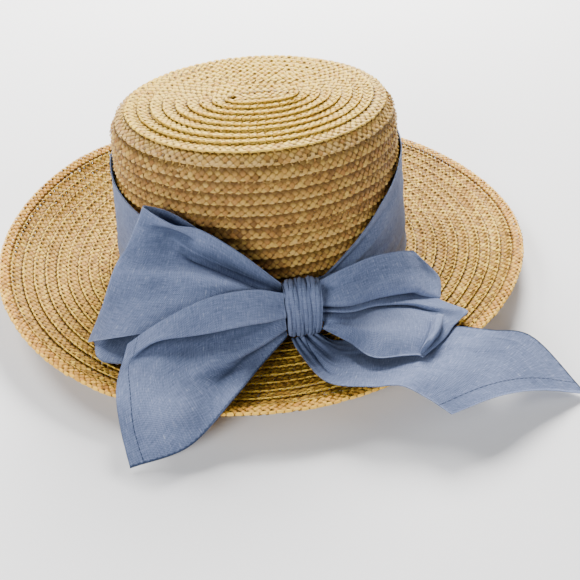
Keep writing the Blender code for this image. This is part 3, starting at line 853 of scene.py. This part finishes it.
def fold_grid(table, size, pleats, knots, rng, creases, crumple=0.35):
    """A fine grid through a table of folds, with pleats that die away from the knot, and small crumples."""
    along, across = size
    coarse = np.array([section[1:] for section in table], dtype=float)
    grid = smooth_rows(coarse, along)
    grid = np.swapaxes(smooth_rows(np.swapaxes(grid, 0, 1), across), 0, 1)
    normal = normals_of(grid)
    u, v = shares(along, across)
    raised = np.zeros((along, across))
    near = sum(np.exp(-np.abs(u - at) / spread) for at, spread in knots)
    for k in range(3):
        count = pleats * (0.7 + 0.55 * k)
        drift = rng.uniform(-1.5, 1.5)
        raised += near * 0.55 / (1 + 0.6 * k) * np.sin(2 * math.pi * (count * v + drift * u) + rng.uniform(0, 6.28))
    for _ in range(CRUMPLES):
        angle = rng.uniform(-0.5, 0.5)
        centre, width = rng.uniform(0.1, 0.9), rng.uniform(0.015, 0.05)
        line = v - centre - math.tan(angle) * (u - rng.uniform(0, 1)) * 0.5
        raised += crumple * rng.uniform(-1, 1) * bump_at(line, 0, width) * bump_at(u, rng.uniform(0, 1), 0.22)
    for path, span, height, width in creases:
        raised = raised + crease(u, v, path, span, height, width)
    calm = np.minimum(1, np.minimum(v, 1 - v) / 0.04)
    return grid + normal * (raised * calm)[..., None]


def slit_open(grid):
    """Sink a narrow slit where the end of a loop is turned in."""
    u, v = shares(*grid.shape[:2])
    middle = SLIT["at"] - 0.05 * (v - SLIT["from"])
    inside = np.clip((1 - np.abs(u - middle) / SLIT["half"]) * 2.5, 0, 1)
    ends = np.clip((v - SLIT["from"]) / 0.03, 0, 1) * np.clip((SLIT["to"] - v) / 0.03, 0, 1)
    return grid - normals_of(grid) * (SLIT["depth"] * inside * ends)[..., None]


def wall_radius(height):
    return HEAD_RADIUS - height * math.tan(WALL_LEAN)


# Operators

class HAT_OT_crown(bpy.types.Operator):
    """Plait the crown from the middle of the tip down to the brim"""
    bl_idname = "straw_hat.crown"
    bl_label = "Crown"

    def execute(self, context):
        straw, pitch, width, tooth = straw_for(context, "plaited crown straw")
        rng = np.random.default_rng(SEED)
        reach = CROWN_REACH - CROWN_END
        turns = (reach - width) / pitch
        angles = np.linspace(0, 2 * math.pi * turns, SPIRAL_STEPS) + math.pi
        course = Course(angles, (angles - math.pi) * pitch / (2 * math.pi), width)
        split = float(np.interp(WALL_START, course.starts, course.length))
        for name, low, high, lap, shade in (("plaited_tip", 0.5, split, LAP, SHADE),
                                            ("plaited_wall", split, course.length[-1] - 0.5, LAP_WALL, SHADE_WALL)):
            part = plait(course, high - low, tooth, pitch, 1, rng, lap, BULGE, OPENNESS[name], first=low, shade=shade)
            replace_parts(add_plaits(name, [part], straw), "crown")
        foot, low, length = ring(reach - width, width)
        inside = [plait(course, course.length[-1] - 1, tooth, pitch, -1, rng, LAP, BULGE_HIDDEN, first=0.5),
                  plait(foot, length, tooth, pitch, -1, rng, LAP, BULGE_HIDDEN, first=low)]
        add_plaits("plaited_crown_inside", inside, straw)
        add_plaits("plaited_wall_foot", [plait(foot, length, tooth, pitch, 1, rng, LAP, BULGE, first=low)], straw)
        strip = Strip((18.0, 2.4), (-1.0, 0.0), width)
        add_plaits("plait_start", [plait(strip, 29.0, tooth, width, side, rng, (0.5, 0.5), BULGE)
                                   for side in (1, -1)], straw)
        return {"FINISHED"}


class HAT_OT_brim(bpy.types.Operator):
    """Plait the turned-up brim in rows that lap over one another outwards"""
    bl_idname = "straw_hat.brim"
    bl_label = "Brim"

    def execute(self, context):
        straw, pitch, width, tooth = straw_for(context, "plaited straw")
        rng = np.random.default_rng(SEED + 1)
        last = EDGE_START - width + 0.4
        first = CROWN_REACH - CROWN_END - width + pitch
        rows = int(round((last - first) / pitch)) + 1
        starts = np.linspace(first, last, rows)
        upper, lower = [], []
        for start in starts:
            course, low, length = ring(start, width)
            first_tooth = low + rng.uniform(0, tooth)
            upper.append(plait(course, length, tooth, pitch, 1, rng, LAP, BULGE_BRIM, OPENNESS["brim"],
                               first=first_tooth))
            lower.append(plait(course, length, tooth, pitch, -1, rng, LAP, BULGE_HIDDEN, first=first_tooth))
        half = rows // 2
        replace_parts(add_plaits("plaited_brim_inner", upper[:half], straw), "brim")
        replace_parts(add_plaits("plaited_brim_outer", upper[half:], straw), "brim")
        add_plaits("plaited_brim_underside", lower, straw)
        return {"FINISHED"}


class HAT_OT_edge(bpy.types.Operator):
    """Lay the thick last plait round the brim's edge"""
    bl_idname = "straw_hat.edge"
    bl_label = "Edge braid"

    def execute(self, context):
        straw, _, _, tooth = straw_for(context, "plaited edge straw")
        rng = np.random.default_rng(SEED + 2)
        course, low, length = ring(EDGE_START - 0.5, EDGE_ROW + 0.5)
        parts = [plait(course, length, tooth * 0.95, course.width - 1.5, side, rng, (1.45, 1.45), BULGE_EDGE,
                       puff=EDGE_THICK / 2 - 0.8, first=low) for side in (1, -1)]
        piece = add_plaits("plaited_edge", parts, straw)
        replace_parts(piece, "edge_braid")
        return {"FINISHED"}


class HAT_OT_band(bpy.types.Operator):
    """Wrap the scarf round the crown wall, gathered towards the knot"""
    bl_idname = "straw_hat.band"
    bl_label = "Scarf band"

    def execute(self, context):
        rng = np.random.default_rng(SEED + 3)
        angle = np.linspace(-math.pi / 2, 1.5 * math.pi, BAND_GRID[0])[:, None]
        share = shares(*BAND_GRID)[1]
        signed = (np.degrees(angle) + 90 + 180) % 360 - 180
        signed[-1] = signed[0]
        from_knot = np.abs(signed)
        degrees, lower, right, left = (np.array(column, dtype=float) for column in zip(*BAND_EDGES))
        low = np.interp(from_knot, degrees, lower)
        high = np.where(signed > 0, np.interp(from_knot, degrees, right), np.interp(from_knot, degrees, left))
        high = high + 0.5 * np.sin(3 * angle + 1) * np.minimum(1, from_knot / 60)
        height = low + (high - low) * share
        gather = np.maximum(0, 1 - from_knot / 95) ** 1.6
        wobble = 0.08 * np.sin(signed / 11) + 0.05 * np.sin(signed / 5.3)
        pleat = 0.5 + 0.5 * np.sin(2 * math.pi * (3.2 * share + wobble) + 0.6)
        fine = 0.5 + 0.5 * np.sin(2 * math.pi * (7.4 * share - wobble * 1.7) + 2.1)
        raised = gather * (1.5 * pleat + 0.7 * fine)
        for _ in range(BAND_CRUMPLES):
            at, centre = rng.uniform(-180, 180), rng.uniform(0.15, 0.85)
            away = (signed - at + 180) % 360 - 180
            crumple = rng.uniform(0.1, 0.45) * bump_at(share + away * rng.uniform(-0.004, 0.004), centre, 0.05)
            raised = raised + crumple * bump_at(away, 0, rng.uniform(10, 30))
        raised = raised + 0.5 * (bump_at(share, 0.985, 0.05) + bump_at(share, 0.015, 0.05))
        radius = wall_radius(height) + BAND_CLEAR + 0.3 + raised
        grid = np.stack([(radius + OVAL) * np.cos(angle), (radius - OVAL) * np.sin(angle), height], -1)
        piece = cloth_piece("scarf_band", grid, context.scene.scarf_look, closed=True)
        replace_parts(piece, "hat_band")
        return {"FINISHED"}


class HAT_OT_knot(bpy.types.Operator):
    """Wind the knot of the bow in slanted pleats"""
    bl_idname = "straw_hat.knot"
    bl_label = "Knot"

    def execute(self, context):
        turn = np.linspace(0, 2 * math.pi, KNOT_GRID[0])[:, None]
        place = np.linspace(-1, 1, KNOT_GRID[1])[None, :]
        slant = 0.22 * np.sin(turn + 0.5) + 0.06 * np.sin(2 * turn + 1.0)
        pleats = (np.abs(np.sin(math.pi * (1.7 * (place + slant) + 0.3))) ** 0.8 * 0.07
                  + np.abs(np.sin(math.pi * (4.3 * (place - 0.5 * slant) + 0.1))) ** 0.7 * 0.045
                  + np.abs(np.sin(math.pi * (7.9 * (place + 0.7 * slant) + 0.6))) * 0.018)
        size = 0.83 + pleats - 0.10 * np.abs(place) ** 5
        centre_x, centre_y, centre_z = KNOT_CENTRE
        half_x, half_y, half_z = KNOT_HALF

        def squared(value):
            return np.sign(value) * np.abs(value) ** 0.8

        across = half_y * size * squared(np.cos(turn))
        up = half_z * size * squared(np.sin(turn))
        waist = 1 - 0.14 * (1 - np.sin(turn)) / 2
        grid = np.stack([centre_x + half_x * waist * place + 0 * up + 0.6 * np.sin(turn * 2) * (1 - place ** 2),
                         centre_y + across * math.cos(KNOT_LEAN) + up * math.sin(KNOT_LEAN),
                         centre_z - across * math.sin(KNOT_LEAN) + up * math.cos(KNOT_LEAN)], -1)
        piece = cloth_piece("scarf_knot", grid[::-1], context.scene.scarf_look, "wound chambray", closed=True)
        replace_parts(piece, "bow_knot")
        return {"FINISHED"}


class HAT_OT_loops(bpy.types.Operator):
    """Fold the two loops of the bow"""
    bl_idname = "straw_hat.loops"
    bl_label = "Loops"

    def execute(self, context):
        rng = np.random.default_rng(SEED + 4)
        ends = [(0.0, 0.10), (1.0, 0.08)]
        for side, table, flat, creases in (("left", LEFT_LOOP, (0.068, 0.215), LEFT_LOOP_CREASES),
                                           ("right", RIGHT_LOOP, (0.085, 0.165), RIGHT_LOOP_CREASES)):
            grid = fold_grid(table, LOOP_GRID, 4.0, ends, rng, creases)
            if side == "right":
                grid = slit_open(grid)
            piece = cloth_piece("scarf_loop_" + side, grid, context.scene.scarf_look)
            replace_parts(piece, "bow_loop_" + side)
        return {"FINISHED"}


class HAT_OT_tails(bpy.types.Operator):
    """Lay the two hemmed ends of the scarf over the brim"""
    bl_idname = "straw_hat.tails"
    bl_label = "Tails"

    def execute(self, context):
        rng = np.random.default_rng(SEED + 5)
        tails = (("left", LEFT_TAIL, (0.078, 0.11), 0.0078, LEFT_TAIL_CREASES, "lower"),
                 ("right", RIGHT_TAIL, (0.078, 0.16), 0.0090, RIGHT_TAIL_CREASES, "upper"))
        for side, table, flat, area, creases, locked in tails:
            grid = fold_grid(table, TAIL_GRID, 3.5, [(0.0, 0.14)], rng, creases)
            piece = cloth_piece("scarf_tail_" + side, grid, context.scene.scarf_look, locked=locked)
            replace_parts(piece, "bow_tail_" + side)
        return {"FINISHED"}


CAMERA_AT = (-31.4, -336.2, 255.5)
CAMERA_AIM = (0.1052, 0.7411, -0.6631)
CAMERA_ROLL = -0.043
FLOOR_HALF = 4.0            # in metres
SKY = (0.95, 0.97, 1.0, 1.0)
SKY_STRENGTH = 0.04
LIGHT_SIZE = 0.60           # in metres
LIGHTS = [
    # name, place in metres, share of the key's power, colour
    ("behind right", (0.36, 0.98, 0.94), 5.2, (1.0, 0.98, 0.95)),
    ("behind left", (-0.67, 0.80, 0.94), 2.1, (1.0, 0.99, 0.97)),
    ("left", (-0.85, -0.90, 0.60), 1.35, (0.97, 0.98, 1.0)),
    ("right", (1.10, -0.35, 0.55), 0.45, (0.97, 0.98, 1.0)),
    ("low in front", (0.0, -1.3, 0.5), 0.15, (0.95, 0.97, 1.0)),
]


class HAT_OT_stage(bpy.types.Operator):
    """Set out the floor, soft light and camera"""
    bl_idname = "straw_hat.stage"
    bl_label = "Stage"

    def execute(self, context):
        look = context.scene.stage_look
        floor = Finish("plain floor", 0.9)
        place = floor.node("ShaderNodeTexCoord", out="Object")
        fleck = floor.noise(place, (260.0, 260.0, 260.0))
        colour = floor.mix(fleck * 0.08, tuple(look.floor), (0.72, 0.72, 0.73))
        floor.use(colour, 0.88 + fleck * 0.06, fleck, 0.0002, 0.2)
        mesh = bpy.data.meshes.new("floor")
        corners = [(x * FLOOR_HALF, y * FLOOR_HALF, 0) for x, y in ((-1, -1), (1, -1), (1, 1), (-1, 1))]
        mesh.from_pydata(corners, [], [(0, 1, 2, 3)])
        mesh.materials.append(floor.material)
        add_object("floor", mesh)

        world = context.scene.world or bpy.data.worlds.new("World")
        context.scene.world = world
        world.use_nodes = True
        background = world.node_tree.nodes["Background"]
        background.inputs["Color"].default_value = SKY
        background.inputs["Strength"].default_value = SKY_STRENGTH
        for name, at, share, colour in LIGHTS:
            light = bpy.data.lights.new(name, "AREA")
            light.shape, light.size = "DISK", LIGHT_SIZE
            light.energy = look.key * share
            light.color = colour
            lamp = add_object(name, light)
            lamp.location = at
            lamp.rotation_euler = (Vector((0, 0, 0.03)) - Vector(at)).to_track_quat("-Z", "Y").to_euler()

        lens = bpy.data.cameras.new("camera")
        lens.sensor_width = 36
        lens.lens = look.focal
        lens.clip_start = 0.01
        camera = add_object("camera", lens)
        ahead = Vector(CAMERA_AIM).normalized()
        right = ahead.cross(Vector((0, 0, 1))).normalized()
        up = right.cross(ahead)
        cos, sin = math.cos(CAMERA_ROLL), math.sin(CAMERA_ROLL)
        turned = Matrix((right * cos + up * sin, up * cos - right * sin, -ahead)).transposed()
        camera.matrix_world = Matrix.LocRotScale(Vector(CAMERA_AT) * MM, turned.to_quaternion(), None)
        context.scene.camera = camera
        return {"FINISHED"}


OPERATORS = (HAT_OT_crown, HAT_OT_brim, HAT_OT_edge, HAT_OT_band, HAT_OT_knot, HAT_OT_loops, HAT_OT_tails,
             HAT_OT_stage)
LOOKS = {"straw_look": StrawLook, "scarf_look": ScarfLook, "stage_look": StageLook}


class HAT_PT_panel(bpy.types.Panel):
    """Lists the hat's looks and the pieces that can be built"""
    bl_label = "Straw Hat"
    bl_idname = "HAT_PT_panel"
    bl_space_type = "VIEW_3D"
    bl_region_type = "UI"
    bl_category = "Straw Hat"

    def draw(self, context):
        for name, group in LOOKS.items():
            box = self.layout.box()
            for title in group.__annotations__:
                box.prop(getattr(context.scene, name), title)
        for operator in OPERATORS:
            self.layout.operator(operator.bl_idname)


def register():
    for kind in (*LOOKS.values(), *OPERATORS, HAT_PT_panel):
        bpy.utils.register_class(kind)
    for name, group in LOOKS.items():
        setattr(bpy.types.Scene, name, PointerProperty(type=group))


def unregister():
    for name in LOOKS:
        delattr(bpy.types.Scene, name)
    for kind in (HAT_PT_panel, *reversed(OPERATORS), *LOOKS.values()):
        bpy.utils.unregister_class(kind)


def main():
    register()
    for operator in OPERATORS:
        group, name = operator.bl_idname.split(".")
        getattr(getattr(bpy.ops, group), name)()


if __name__ == "__main__":
    main()
